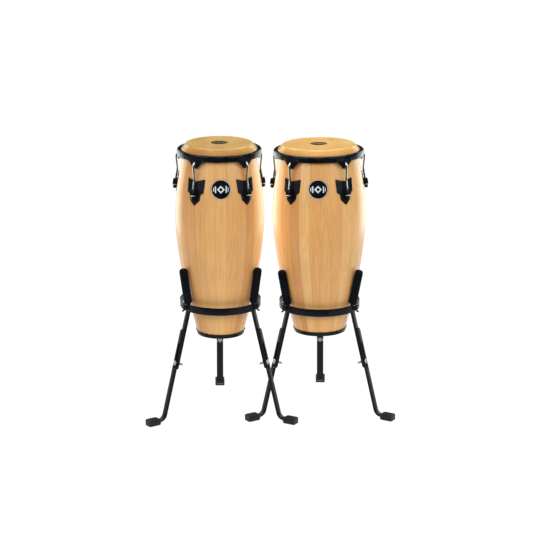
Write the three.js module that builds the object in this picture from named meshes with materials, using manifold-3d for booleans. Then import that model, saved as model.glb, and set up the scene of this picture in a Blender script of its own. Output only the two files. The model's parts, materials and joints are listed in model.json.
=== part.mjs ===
// A pair of conga drums, each standing in its own three-legged basket stand.
// Millimetres, +Z up. The players' side is -Y. The origin is under the middle of the pair, on the floor.
//
// Each drum is a hollow stave shell, open at the bottom, under a skin head. A steel rim pulls the head
// down: tuning hooks hang in the rim's ears, pass through receivers on the side plates, and end in nuts.
// Each stand is a flat ring with three bent legs bolted inside it. Soft sleeves on the legs carry the
// drum, and a slotted lower leg with a rubber boot slides on each upper leg.

import * as THREE from 'three';
import { mergeVertices } from 'three/addons/utils/BufferGeometryUtils.js';
import Module from 'manifold-3d';

const wasm = await Module();
wasm.setup();

// ---- driving dimensions ------------------------------------------------------------------------

const GAP = 0.4; // between pieces that touch

// Two drums: the smaller quinto and the larger conga. Radii are the shell's outside. Stretch is a drum's height
// over that of the pattern below. Turns and leans are in degrees: a drum leans a little in its soft sleeves.
const DRUMS = [
  {
    name: 'quinto', x: 1, y: 0, base: 305.2, stretch: 1.008, foot: 84.8, belly: 163.7, top: 127,
    drumTurn: 3.4, leanBack: -0.4, leanLeft: 0,
    ringZ: 426.3, clampZ: 219, legAngles: [-54.5, 59.5, 182.5],
  },
  {
    name: 'conga', x: 370.5, y: 43, base: 303.8, stretch: 0.989, foot: 94, belly: 171.5, top: 138.8,
    drumTurn: -2.2, leanBack: 0.8, leanLeft: 0.72,
    ringZ: 409.3, clampZ: 209, legAngles: [-57, 58, 177.6],
  },
];
const LEAN_H = 195; // the height that a drum leans about

// Shell: heights above the drum's lower end
const BELLY_H = 450;
const NECK_H = 700;
const SHELL_TOP_H = 713.4;
const SHELL_LOW_H = 2;
const SHELL_WALL = 11;
const FOOT_SLOPE = 0.265;
const NECK_SLOPE = -0.23;
const BOTTOM_RING_H = 15.8;
const BOTTOM_RING_LIP = 1.5;
const BOTTOM_RING_T = 2.5;

// Head, rim and tuning: radii are measured outwards from the shell's top radius
const HEAD_TOP_H = 717;
const SKIN = 3;
const HOOP_H = 680.4;
const HOOP_OUT = 15.6;
const HOOP_R = 4.5;
const RIM_TOP_H = 698;
const RIM_LOW_H = 675;
const RIM_LIP_H = 685.6;
const RIM_IN = 13.6;
const RIM_OUT = 27.4;
const RIM_T = 3;
const EAR_TOP_WIDTH = 60;
const EAR_TIP_WIDTH = 14;
const EAR_TIP_H = 648.5;
const HOOK_H = 670;
const HOOK_R = 3.6;
const HOOK_HOLE_R = 4.4;
const ROD_FOOT_H = 543;
const ROD_FOOT_OUT = 45.5;
const ROD_LEAN = 0.17;
const TUNING_ANGLES = [-108, -36, 36, 108, 180];

// Side plates, their receivers and the nuts below them
const PLATE_T = 3;
const RECEIVER_H = 564.8;
const RECEIVER_WIDTH = 18;
const RECEIVER_TALL = 21;
const RECEIVER_FRONT = 8;
const NUT_DROP = 3.4;
const NUT_TALL = 13;
const NUT_R = 7.6;
const NUT_BORE_R = 4.7;
const BADGE_H = 577.5;
const BADGE_R = 35;
const BADGE_T = 2.4;

// Basket stand
const RING_R = 150.2;
const RING_T = 3;
const RING_TALL = 28;
const LEG_NAMES = ['front_left', 'front_right', 'rear'];
const BAR_WIDTH = 25;
const BAR_T = 6;
const LEG_SPLAY = THREE.MathUtils.degToRad(15);
const BEND_BELOW_RING = 14;
const SLEEVE_R = 15.5;
const SLEEVE_LENGTH = 134;
const SLEEVE_LIFT = 3; // so that the leaning sleeve's lower edge clears the ring
const SLEEVE_GAP = 1.5; // room for the drum's lean
const SLEEVE_DOME = 8;
const SLEEVE_BORE_MARGIN = 0.8;
const UPPER_TAIL = 22;
const LAP = 128;
const STUD_R = 4;
const SLOT_HALF = 4.5;
const SLOT_UP = 75;
const SLOT_DOWN = 27;
const FOOT_BEND_R = 28;
const BOOT_LENGTH = 48;
const BOOT_WIDTH = 36;
const BOOT_TALL = 23;
const BOOT_TOP_CHAMFER = 2.5;
const BOOT_LOW_CHAMFER = 1.5;

const TURNED_SIDES = 40; // a multiple of 20, so that the tuning angles fall on the sides' corners
const ROD_SIDES = 8;
const SLEEVE_SIDES = 14;

// ---- materials ---------------------------------------------------------------------------------

const material = (color, roughness, metalness) =>
  new THREE.MeshStandardMaterial({ color, roughness, metalness });

const WOOD = material(0xd8a566, 0.25, 0);
const SKIN_LOOK = material(0xdeb078, 0.55, 0);
const BLACK_STEEL = material(0x15181c, 0.4, 0.4);
const CHROME = material(0xc8ccd0, 0.15, 1);
const FOAM = material(0x101216, 0.85, 0);
const BADGE_LOOK = material(0x0b0c0e, 0.3, 0.2);

// ---- geometry helpers --------------------------------------------------------------------------

const degrees = THREE.MathUtils.degToRad;

// A closed geometry as a manifold solid, for cutting and joining.
function solid(geometry) {
  const bare = geometry.clone();
  bare.deleteAttribute('normal');
  bare.deleteAttribute('uv');
  const merged = mergeVertices(bare, 1e-4);
  return new wasm.Manifold(new wasm.Mesh({
    numProp: 3,
    vertProperties: new Float32Array(merged.attributes.position.array),
    triVerts: new Uint32Array(merged.index.array),
  }));
}

function geometryOf(manifold) {
  const mesh = manifold.getMesh();
  const geometry = new THREE.BufferGeometry();
  geometry.setAttribute('position', new THREE.BufferAttribute(mesh.vertProperties, 3));
  geometry.setIndex(new THREE.BufferAttribute(mesh.triVerts, 1));
  geometry.computeVertexNormals();
  return geometry;
}

// A profile of [radius, height] points, closed on itself or on the axis, turned about +Z.
// It may run either way round.
function turned(profile, sides = TURNED_SIDES) {
  const points = profile.map(([radius, height]) => new THREE.Vector2(radius, height));
  if (THREE.ShapeUtils.isClockWise(points)) points.reverse();
  if (profile[0][0] > 0) points.push(points[0].clone());
  return new THREE.LatheGeometry(points, sides).rotateX(Math.PI / 2);
}

function extruded(outline, depth) {
  const shape = new THREE.Shape(outline.map(([x, y]) => new THREE.Vector2(x, y)));
  return new THREE.ExtrudeGeometry(shape, { depth, bevelEnabled: false });
}

// An outline of [outward, up] points, given a width across the radial direction (+X is outward).
function sideBar(outline, width) {
  return extruded(outline, width).rotateX(Math.PI / 2).translate(0, width / 2, 0);
}

// An outline of [across, up] points, pushed outward along +X between two radii.
function outwardPrism(outline, from, to) {
  const facing = new THREE.Matrix4().makeBasis(
    new THREE.Vector3(0, 1, 0), new THREE.Vector3(0, 0, 1), new THREE.Vector3(1, 0, 0));
  return extruded(outline, to - from).applyMatrix4(facing).translate(from, 0, 0);
}

// A round bar between two [outward, up] points in the radial plane.
function roundBar(radius, from, to, sides = ROD_SIDES) {
  const start = new THREE.Vector3(from[0], 0, from[1]);
  const end = new THREE.Vector3(to[0], 0, to[1]);
  const middle = start.clone().add(end).multiplyScalar(0.5);
  const along = end.clone().sub(start);
  const turn = new THREE.Quaternion().setFromUnitVectors(
    new THREE.Vector3(0, 1, 0), along.clone().normalize());
  return new THREE.CylinderGeometry(radius, radius, along.length(), sides)
    .applyQuaternion(turn).translate(middle.x, middle.y, middle.z);
}

// The outline of a flat bar whose middle line runs through the given points, mitred at each bend.
function barOutline(line, thickness) {
  const points = line.map(([x, y]) => new THREE.Vector2(x, y));
  const steps = points.slice(1).map((point, i) => point.clone().sub(points[i]).normalize());
  const side = (sign) => points.map((point, i) => {
    const before = steps[Math.max(i - 1, 0)];
    const after = steps[Math.min(i, steps.length - 1)];
    const middle = before.clone().add(after).normalize();
    const reach = sign * thickness / 2 / middle.dot(before);
    return [point.x - middle.y * reach, point.y + middle.x * reach];
  });
  return [...side(-1), ...side(1).reverse()];
}

function arcPoints(x, y, radius, from, to, count) {
  return Array.from({ length: count + 1 }, (_, i) => {
    const angle = from + (to - from) * i / count;
    return [x + radius * Math.cos(angle), y + radius * Math.sin(angle)];
  });
}

// A group whose +X points outward at an angle from the players' side, turning towards +X of the drum.
function outwardGroup(parent, angle) {
  const group = new THREE.Group();
  group.rotation.z = degrees(angle - 90);
  parent.add(group);
  return group;
}

function addPiece(parent, name, geometry, look) {
  const piece = new THREE.Mesh(geometry, look);
  piece.name = name;
  parent.add(piece);
}

// ---- the drum ----------------------------------------------------------------------------------

// The shell's outside radius at a height: one cubic from foot to belly, one from belly to neck.
function shellRadius(drum, h) {
  const low = h < BELLY_H;
  const span = low ? BELLY_H : NECK_H - BELLY_H;
  const t = low ? h / span : (h - BELLY_H) / span;
  const rise = 3 * t ** 2 - 2 * t ** 3;
  if (low) return drum.foot * (1 - rise) + drum.belly * rise + (t - 2 * t ** 2 + t ** 3) * span * FOOT_SLOPE;
  return drum.belly * (1 - rise) + drum.top * rise + (t ** 3 - t ** 2) * span * NECK_SLOPE;
}

function shellProfile(drum) {
  const outside = [SHELL_LOW_H, 90, 190, 280, 360, BELLY_H, 540, 630, NECK_H]
    .map((h) => [shellRadius(drum, h), h]);
  const inside = [NECK_H, 610, BELLY_H, 300, 150, SHELL_LOW_H]
    .map((h) => [shellRadius(drum, h) - SHELL_WALL, h]);
  const bearingEdge = [[-1.1, 703.6], [-6.2, 710], [-8.2, 712.2], [-10, SHELL_TOP_H], [-SHELL_WALL, SHELL_TOP_H]]
    .map(([out, h]) => [drum.top + out, h]);
  return [...outside, ...bearingEdge, ...inside];
}

function bottomRingProfile(drum) {
  const lowIn = shellRadius(drum, BOTTOM_RING_LIP) + GAP;
  const highIn = shellRadius(drum, BOTTOM_RING_H) + GAP;
  const lipIn = drum.foot - SHELL_WALL / 2;
  return [
    [lipIn, 0], [drum.foot + GAP + BOTTOM_RING_T, 0], [highIn + BOTTOM_RING_T, BOTTOM_RING_H],
    [highIn, BOTTOM_RING_H], [lowIn, BOTTOM_RING_LIP], [lipIn, BOTTOM_RING_LIP],
  ];
}

// The skin drops over the bearing edge to the flesh hoop, which it wraps: hoop and skin are one solid.
function headProfile(drum) {
  const edge = [
    [-11, 0], [-7.6, -0.5], [-5, -1.9], [-2.9, -4], [9.2, -16.4], [11.6, -19.6], [12.7, -23.8], [13, -31.5],
  ];
  const under = [
    [10, -33], [10, -28.2], [9.7, -24.2], [9, -21.2], [7, -18.5], [-5, -6.2], [-7.2, -4.2], [-9.2, -3.2], [-11, -SKIN],
  ];
  const place = ([out, down]) => [drum.top + out, HEAD_TOP_H + down];
  const hoop = arcPoints(drum.top + HOOP_OUT, HOOP_H, HOOP_R, Math.PI * 0.667, -Math.PI, 6);
  return [[0, HEAD_TOP_H], ...edge.map(place), ...hoop, ...under.map(place), [0, HEAD_TOP_H - SKIN]];
}

// The rim is a rolled channel, open below: a short inner lip, a round top and a deep outer band.
function rimSolid(drum) {
  const inner = drum.top + RIM_IN;
  const outer = drum.top + RIM_OUT;
  const roll = (outer - inner) / 2;
  const middle = (outer + inner) / 2;
  const arch = (shrink) => arcPoints(0, 0, 1, Math.PI, 0, 4)
    .map(([c, s]) => [middle + c * (roll - shrink), RIM_TOP_H - roll + s * (roll - shrink)]);
  const channel = turned([
    [inner, RIM_LIP_H], ...arch(0), [outer, RIM_LOW_H],
    [outer - RIM_T, RIM_LOW_H], ...arch(RIM_T).reverse(), [inner + RIM_T, RIM_LIP_H],
  ]);
  const earTop = RIM_LOW_H + 6;
  const earBand = solid(turned([
    [outer - RIM_T, EAR_TIP_H - 1], [outer, EAR_TIP_H - 1], [outer, earTop], [outer - RIM_T, earTop],
  ]));
  const earOutline = [
    [-EAR_TIP_WIDTH / 2, EAR_TIP_H], [EAR_TIP_WIDTH / 2, EAR_TIP_H],
    [EAR_TOP_WIDTH / 2, RIM_LOW_H], [EAR_TOP_WIDTH / 2, earTop + 1],
    [-EAR_TOP_WIDTH / 2, earTop + 1], [-EAR_TOP_WIDTH / 2, RIM_LOW_H],
  ];
  const ear = earBand.intersect(solid(outwardPrism(earOutline, outer - 20, outer + 20)));
  const hole = solid(roundBar(HOOK_HOLE_R, [outer - 12, HOOK_H], [outer + 12, HOOK_H], 12));
  return TUNING_ANGLES.reduce((rim, angle) => {
    const turn = [0, 0, angle - 90];
    return rim.add(ear.rotate(turn)).subtract(hole.rotate(turn));
  }, solid(channel));
}

// A piece of sheet that follows the shell: an outline of [across, up] points, cut from a turned band.
function shellSheet(drum, outline, lowH, highH, thickness) {
  const steps = 3;
  const heights = Array.from({ length: steps + 1 }, (_, i) => lowH + (highH - lowH) * i / steps);
  const inside = heights.map((h) => [shellRadius(drum, h) + GAP, h]);
  const outside = heights.map((h) => [shellRadius(drum, h) + GAP + thickness, h]).reverse();
  const band = solid(turned([...outside.reverse(), ...inside.reverse()]));
  return band.intersect(solid(outwardPrism(outline, drum.top - 20, drum.belly + 40)));
}

function rodOut(drum, h) {
  return drum.top + ROD_FOOT_OUT - (h - ROD_FOOT_H) * ROD_LEAN;
}

// The hook enters the ear from outside, drops in a shallow S and runs straight down to the nut.
function hookPath(drum) {
  const bend = [
    [20.5, HOOK_H], [29.5, HOOK_H], [34.6, 667.8], [37.2, 661.5], [37.6, 652], [36.4, 638], [34.8, 624],
  ];
  const straight = [610, 578, ROD_FOOT_H].map((h) => [rodOut(drum, h), h]);
  const points = [...bend.map(([out, h]) => [drum.top + out, h]), ...straight];
  return new THREE.CatmullRomCurve3(points.map(([out, h]) => new THREE.Vector3(out, 0, h)), false, 'centripetal');
}

function hookGeometry(drum) {
  const section = new THREE.Shape(
    arcPoints(0, 0, HOOK_R, 0, 2 * Math.PI * (ROD_SIDES - 1) / ROD_SIDES, ROD_SIDES - 1)
      .map(([x, y]) => new THREE.Vector2(x, y)));
  return new THREE.ExtrudeGeometry(section, { steps: 12, bevelEnabled: false, extrudePath: hookPath(drum) });
}

// A shield-shaped plate on the shell, with a bored block that the hook's rod passes through.
function sidePlateSolid(drum) {
  const half = [[0, 601], [35, 610.7], [33.5, 562], [22, 554.5], [20.5, 535.5], [0, 514.4]];
  const mirrored = half.slice(1, -1).reverse().map(([across, h]) => [-across, h]);
  const plate = shellSheet(drum, [...half.reverse(), ...mirrored.reverse()], 512, 616, PLATE_T);
  const foot = shellRadius(drum, RECEIVER_H) + GAP + PLATE_T / 2;
  const rod = rodOut(drum, RECEIVER_H);
  const lean = ROD_LEAN * RECEIVER_TALL / 2;
  const block = solid(sideBar([
    [foot + 2 * lean, RECEIVER_H - RECEIVER_TALL / 2], [rod + RECEIVER_FRONT + lean, RECEIVER_H - RECEIVER_TALL / 2],
    [rod + RECEIVER_FRONT - lean, RECEIVER_H + RECEIVER_TALL / 2], [foot - lean / 2, RECEIVER_H + RECEIVER_TALL / 2],
  ], RECEIVER_WIDTH));
  const bore = solid(roundBar(HOOK_HOLE_R, [rodOut(drum, 540), 540], [rodOut(drum, 593), 593], 12));
  return plate.add(block).subtract(bore);
}

function nutGeometry() {
  return turned([
    [NUT_BORE_R, 0], [NUT_R * 0.8, 0], [NUT_R, 2.5], [NUT_R, NUT_TALL - 1], [NUT_R * 0.9, NUT_TALL], [NUT_BORE_R, NUT_TALL],
  ], 6);
}

// Adds a piece of a drum, drawn out to the drum's own height.
function addDrumPiece(parent, drum, part, geometry, look) {
  addPiece(parent, `${drum.name}_${part}`, geometry.scale(1, 1, drum.stretch), look);
}

function addTuning(body, drum, angle, number) {
  const spoke = outwardGroup(body, angle);
  addDrumPiece(spoke, drum, `tuning_hook_${number}`, hookGeometry(drum), CHROME);
  addDrumPiece(spoke, drum, `side_plate_${number}`, geometryOf(sidePlateSolid(drum)), BLACK_STEEL);
  const nutTop = RECEIVER_H - RECEIVER_TALL / 2 - NUT_DROP;
  const seat = new THREE.Group();
  seat.position.set(rodOut(drum, nutTop), 0, nutTop * drum.stretch);
  seat.rotation.y = -Math.atan(ROD_LEAN / drum.stretch);
  spoke.add(seat);
  addPiece(seat, `${drum.name}_tuning_nut_${number}`, nutGeometry().translate(0, 0, -NUT_TALL), BLACK_STEEL);
}

function addDrum(place, drum) {
  const lean = new THREE.Group();
  lean.position.z = drum.base + LEAN_H;
  lean.rotation.set(degrees(-drum.leanBack), degrees(-drum.leanLeft), degrees(drum.drumTurn));
  place.add(lean);
  const body = new THREE.Group();
  body.position.z = -LEAN_H;
  lean.add(body);
  addDrumPiece(body, drum, 'shell', turned(shellProfile(drum)), WOOD);
  addDrumPiece(body, drum, 'bottom_ring', turned(bottomRingProfile(drum)), BLACK_STEEL);
  addDrumPiece(body, drum, 'head', turned(headProfile(drum)), SKIN_LOOK);
  addDrumPiece(body, drum, 'rim', geometryOf(rimSolid(drum)), BLACK_STEEL);
  const round = arcPoints(0, BADGE_H, BADGE_R, 0, Math.PI * 2 * 23 / 24, 23);
  const badge = shellSheet(drum, round, BADGE_H - BADGE_R - 2, BADGE_H + BADGE_R + 2, BADGE_T);
  addDrumPiece(outwardGroup(body, 0), drum, 'badge', geometryOf(badge), BADGE_LOOK);
  TUNING_ANGLES.forEach((angle, i) => addTuning(body, drum, angle, i + 1));
}

// ---- the stand ---------------------------------------------------------------------------------

// The bar's middle line: straight up along the ring, leaning out above it and splayed below it.
// The flat bar's edges touch the round ring, and the sleeve's top touches the shell.
function legLine(drum) {
  const ringInside = (RING_R - RING_T) * Math.cos(Math.PI / TURNED_SIDES) - GAP;
  const barR = Math.sqrt(ringInside ** 2 - (BAR_WIDTH / 2) ** 2) - BAR_T / 2;
  const sleeveLow = drum.ringZ + RING_TALL / 2 + SLEEVE_LIFT;
  const sleeveTop = sleeveLow + SLEEVE_LENGTH;
  const touchZ = sleeveTop - SLEEVE_DOME - 4;
  const bendTop = drum.ringZ + BEND_BELOW_RING;
  const bendLow = drum.ringZ - BEND_BELOW_RING;
  const touchR = shellRadius(drum, (touchZ - drum.base) / drum.stretch) + SLEEVE_R + SLEEVE_GAP;
  const lean = (touchR - barR) / (touchZ - bendTop);
  const clampR = barR + (bendLow - drum.clampZ) * Math.tan(LEG_SPLAY);
  return { barR, sleeveLow, sleeveTop, bendTop, bendLow, lean, clamp: [clampR, drum.clampZ] };
}

// Unit steps down along a splayed leg, and outward across it.
const DOWN_LEG = [Math.sin(LEG_SPLAY), -Math.cos(LEG_SPLAY)];
const ACROSS_LEG = [Math.cos(LEG_SPLAY), Math.sin(LEG_SPLAY)];

function legPoint(from, down, across) {
  return [0, 1].map((i) => from[i] + DOWN_LEG[i] * down + ACROSS_LEG[i] * across);
}

function upperLegSolid(leg) {
  const topZ = leg.sleeveTop - SLEEVE_DOME - 8;
  const line = [
    [leg.barR + (topZ - leg.bendTop) * leg.lean, topZ], [leg.barR, leg.bendTop],
    [leg.barR, leg.bendLow], legPoint(leg.clamp, UPPER_TAIL, 0),
  ];
  const bar = solid(sideBar(barOutline(line, BAR_T), BAR_WIDTH));
  const stud = roundBar(STUD_R, legPoint(leg.clamp, 0, -BAR_T / 2 - 5), legPoint(leg.clamp, 0, BAR_T * 1.5 + 6), 12);
  return bar.add(solid(stud));
}

// A round sleeve with a domed, closed top, and a blind bore that clears the flat bar inside it.
function sleeveSolid(leg) {
  const outside = solid(turned([
    [0, 0], [SLEEVE_R, 0], [SLEEVE_R, SLEEVE_LENGTH - SLEEVE_DOME],
    [SLEEVE_R * 0.82, SLEEVE_LENGTH - SLEEVE_DOME * 0.3], [SLEEVE_R * 0.4, SLEEVE_LENGTH], [0, SLEEVE_LENGTH],
  ], SLEEVE_SIDES));
  const boreX = BAR_T / 2 + SLEEVE_BORE_MARGIN;
  const boreY = BAR_WIDTH / 2 + SLEEVE_BORE_MARGIN;
  const bore = solid(new THREE.BoxGeometry(2 * boreX, 2 * boreY, 2 * (SLEEVE_LENGTH - SLEEVE_DOME - 4)));
  const tilt = THREE.MathUtils.radToDeg(Math.atan(leg.lean));
  return outside.subtract(bore).rotate([0, tilt, 0])
    .translate([leg.barR + (leg.sleeveLow - leg.bendTop) * leg.lean, 0, leg.sleeveLow]);
}

function lowerLegSolid(leg) {
  const offset = BAR_T + GAP;
  const top = legPoint(leg.clamp, -LAP, offset);
  const bootMiddle = BOOT_TALL / 2;
  const tangent = FOOT_BEND_R * Math.tan((Math.PI / 2 - LEG_SPLAY) / 2);
  const corner = legPoint(top, (top[1] - bootMiddle) / Math.cos(LEG_SPLAY), 0);
  const bend = arcPoints(corner[0] + tangent, bootMiddle + FOOT_BEND_R, FOOT_BEND_R,
    Math.PI + LEG_SPLAY, Math.PI * 1.5, 5);
  const bootIn = corner[0] + tangent;
  const line = [top, ...bend, [bootIn + BOOT_LENGTH - 8, bootMiddle]];
  const bar = solid(sideBar(barOutline(line, BAR_T), BAR_WIDTH));
  const boot = solid(sideBar([
    [bootIn + BOOT_LOW_CHAMFER, 0], [bootIn + BOOT_LENGTH - BOOT_LOW_CHAMFER, 0],
    [bootIn + BOOT_LENGTH, BOOT_LOW_CHAMFER], [bootIn + BOOT_LENGTH, BOOT_TALL - BOOT_TOP_CHAMFER],
    [bootIn + BOOT_LENGTH - BOOT_TOP_CHAMFER, BOOT_TALL], [bootIn + BOOT_TOP_CHAMFER, BOOT_TALL],
    [bootIn, BOOT_TALL - BOOT_TOP_CHAMFER], [bootIn, BOOT_LOW_CHAMFER],
  ], BOOT_WIDTH));
  return bar.add(boot).subtract(slotSolid(leg, offset));
}

// The slot along the lower leg that the clamp stud stands in.
function slotSolid(leg, offset) {
  const upper = SLOT_UP - SLOT_HALF;
  const lower = SLOT_DOWN - SLOT_HALF;
  const outline = [
    ...arcPoints(0, upper, SLOT_HALF, 0, Math.PI, 6),
    ...arcPoints(0, -lower, SLOT_HALF, Math.PI, 2 * Math.PI, 6),
  ];
  const cut = outwardPrism(outline, offset - BAR_T, offset + BAR_T);
  cut.rotateY(-LEG_SPLAY);
  return solid(cut.translate(leg.clamp[0], 0, leg.clamp[1]));
}

function addStand(place, drum) {
  const half = RING_TALL / 2;
  const ring = turned([
    [RING_R - RING_T, -half], [RING_R, -half], [RING_R, half], [RING_R - RING_T, half],
  ]);
  addPiece(place, `${drum.name}_basket_ring`, ring.translate(0, 0, drum.ringZ), BLACK_STEEL);
  const leg = legLine(drum);
  LEG_NAMES.forEach((name, i) => {
    const spoke = outwardGroup(place, drum.legAngles[i]);
    addPiece(spoke, `${drum.name}_upper_leg_${name}`, geometryOf(upperLegSolid(leg)), BLACK_STEEL);
    addPiece(spoke, `${drum.name}_leg_sleeve_${name}`, geometryOf(sleeveSolid(leg)), FOAM);
    addPiece(spoke, `${drum.name}_lower_leg_${name}`, geometryOf(lowerLegSolid(leg)), BLACK_STEEL);
  });
}

// ---- the pair ----------------------------------------------------------------------------------

const pair = new THREE.Group();
DRUMS.forEach((drum) => {
  const place = new THREE.Group();
  place.position.set(drum.x, drum.y, 0);
  pair.add(place);
  addDrum(place, drum);
  addStand(place, drum);
});

// The origin goes under the middle of the pair's outer box.
pair.updateMatrixWorld(true);
const middle = new THREE.Box3().setFromObject(pair, true).getCenter(new THREE.Vector3());
pair.position.set(-middle.x, -middle.y, 0);
pair.updateMatrixWorld(true);

export default pair;
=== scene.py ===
"""The looks of a pair of conga drums in basket stands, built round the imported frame.

Metres, +Z up, players' side at -Y. Each drum's pieces are modelled about the drum's own axis, with z 0
at its lower end. Pieces of one tuning lug or one leg are modelled in a spoke: +X points outward, and the
object's matrix turns it into place. Heights h and radii r follow the same shell curve as the CAD model.
"""

import json
import math

import bmesh
import bpy
from mathutils import Matrix, Vector, noise

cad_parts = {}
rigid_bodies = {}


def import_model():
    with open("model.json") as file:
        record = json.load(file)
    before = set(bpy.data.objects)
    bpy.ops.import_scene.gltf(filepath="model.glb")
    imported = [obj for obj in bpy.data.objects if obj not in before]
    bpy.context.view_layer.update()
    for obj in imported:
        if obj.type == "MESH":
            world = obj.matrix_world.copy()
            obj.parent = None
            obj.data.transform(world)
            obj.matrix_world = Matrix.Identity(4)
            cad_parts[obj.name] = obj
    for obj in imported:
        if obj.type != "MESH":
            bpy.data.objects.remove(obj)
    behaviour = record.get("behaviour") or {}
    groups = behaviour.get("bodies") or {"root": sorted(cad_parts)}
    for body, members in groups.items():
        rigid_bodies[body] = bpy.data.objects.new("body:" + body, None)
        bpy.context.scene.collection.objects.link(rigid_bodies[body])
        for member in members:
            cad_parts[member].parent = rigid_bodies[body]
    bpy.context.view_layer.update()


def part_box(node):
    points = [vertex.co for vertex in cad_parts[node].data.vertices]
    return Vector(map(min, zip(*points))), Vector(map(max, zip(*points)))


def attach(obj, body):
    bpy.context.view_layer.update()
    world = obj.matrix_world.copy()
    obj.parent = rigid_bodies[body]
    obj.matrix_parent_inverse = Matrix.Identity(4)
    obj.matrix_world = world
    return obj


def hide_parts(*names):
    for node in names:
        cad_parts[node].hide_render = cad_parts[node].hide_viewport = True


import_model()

# ---- sizes ----

MM = 0.001

LEAN_H = 195 * MM
BELLY_H = 450 * MM
NECK_H = 700 * MM
FOOT_SLOPE = 0.265
NECK_SLOPE = -0.23
SHELL_WALL = 11 * MM
SHELL_LOW_H = 2 * MM
STAVES = 26

HEAD_TOP_H = 717 * MM
PRINT_R = 31.5 * MM
HOOP_H = 680.4 * MM
HOOP_OUT = 15.6 * MM
HOOP_R = 4.5 * MM
RIM_TOP_H = 698 * MM
RIM_LOW_H = 675 * MM
RIM_LIP_H = 685.6 * MM
RIM_IN = 13.6 * MM
RIM_OUT = 27.4 * MM
RIM_T = 3 * MM
EAR_TIP_H = 648.5 * MM
EAR_HALF_TOP = 30 * MM
EAR_HALF_TIP = 7 * MM
EAR_ROOT_H = 681 * MM
TUNING_ANGLES = (-108, -36, 36, 108, 180)

HOOK_H = 670 * MM
HOOK_R = 3.75 * MM
HOLE_R = 4.4 * MM
ROD_FOOT_H = 543 * MM
ROD_FOOT_OUT = 45.5 * MM
ROD_LEAN = 0.17
THREAD_TOP_H = 562 * MM
THREAD_PITCH = 1.25 * MM
THREAD_DEPTH = 0.45 * MM
NUT_BORE_R = 4.1 * MM

PLATE_T = 3 * MM
SKIN_GAP = 0.4 * MM
RECEIVER_H = 564.8 * MM
RECEIVER_TALL = 21 * MM
RECEIVER_WIDTH = 18 * MM
RECEIVER_FRONT = 8 * MM
SCREW_R = 3.4 * MM
NUT_DROP = 3.4 * MM
BADGE_H = 577.5 * MM
BADGE_R = 35 * MM
BADGE_T = 2.4 * MM

RING_T = 3 * MM
RING_TALL = 28 * MM
CAD_RING_SIDES = 40
SLEEVE_GAP = 1.5 * MM
BAR_WIDTH = 25 * MM
BAR_T = 6 * MM
GAP = 0.4 * MM
LEG_SPLAY = math.radians(15)
BEND_BELOW_RING = 14 * MM
SLEEVE_R = 15.5 * MM
SLEEVE_LENGTH = 134 * MM
SLEEVE_LIFT = 3 * MM
SLEEVE_DOME = 8 * MM
UPPER_TAIL = 22 * MM
LAP = 128 * MM
SLOT_HALF = 4.5 * MM
SLOT_UP = 75 * MM
SLOT_DOWN = 27 * MM
FOOT_BEND_R = 28 * MM
BOOT_LENGTH = 48 * MM
BOOT_WIDTH = 36 * MM
BOOT_TALL = 23 * MM
BOLT_R = 3 * MM
BOLT_HEAD_R = 7.6 * MM
WASHER_IN = 3.4 * MM
WASHER_OUT = 9 * MM
LEG_NAMES = ("front_left", "front_right", "rear")
WING_TURNS = {"front_left": 78, "front_right": 100, "rear": 90}

PAPER_GLOW = 1.0
PAPER_GREY = (0.2, 0.2, 0.2, 1)
WALL_TINT = (0.9, 0.95, 1.0, 1)
WALL_LIGHT = 0.055
TOP_RADIANCE = {"quinto": 2.4, "conga": 3.6}

PANEL_TINT = (0.86, 1.0, 0.92)

EYE = (0.0153, -7.0718, 2.4427)
EYE_TILT = 15.33
LENS = 127.92

ROUND = 144
FINE = 16
CUT_SHARP = 38
FIRST_SEED = 1.0
SEED_STEP = 4.3


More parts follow.
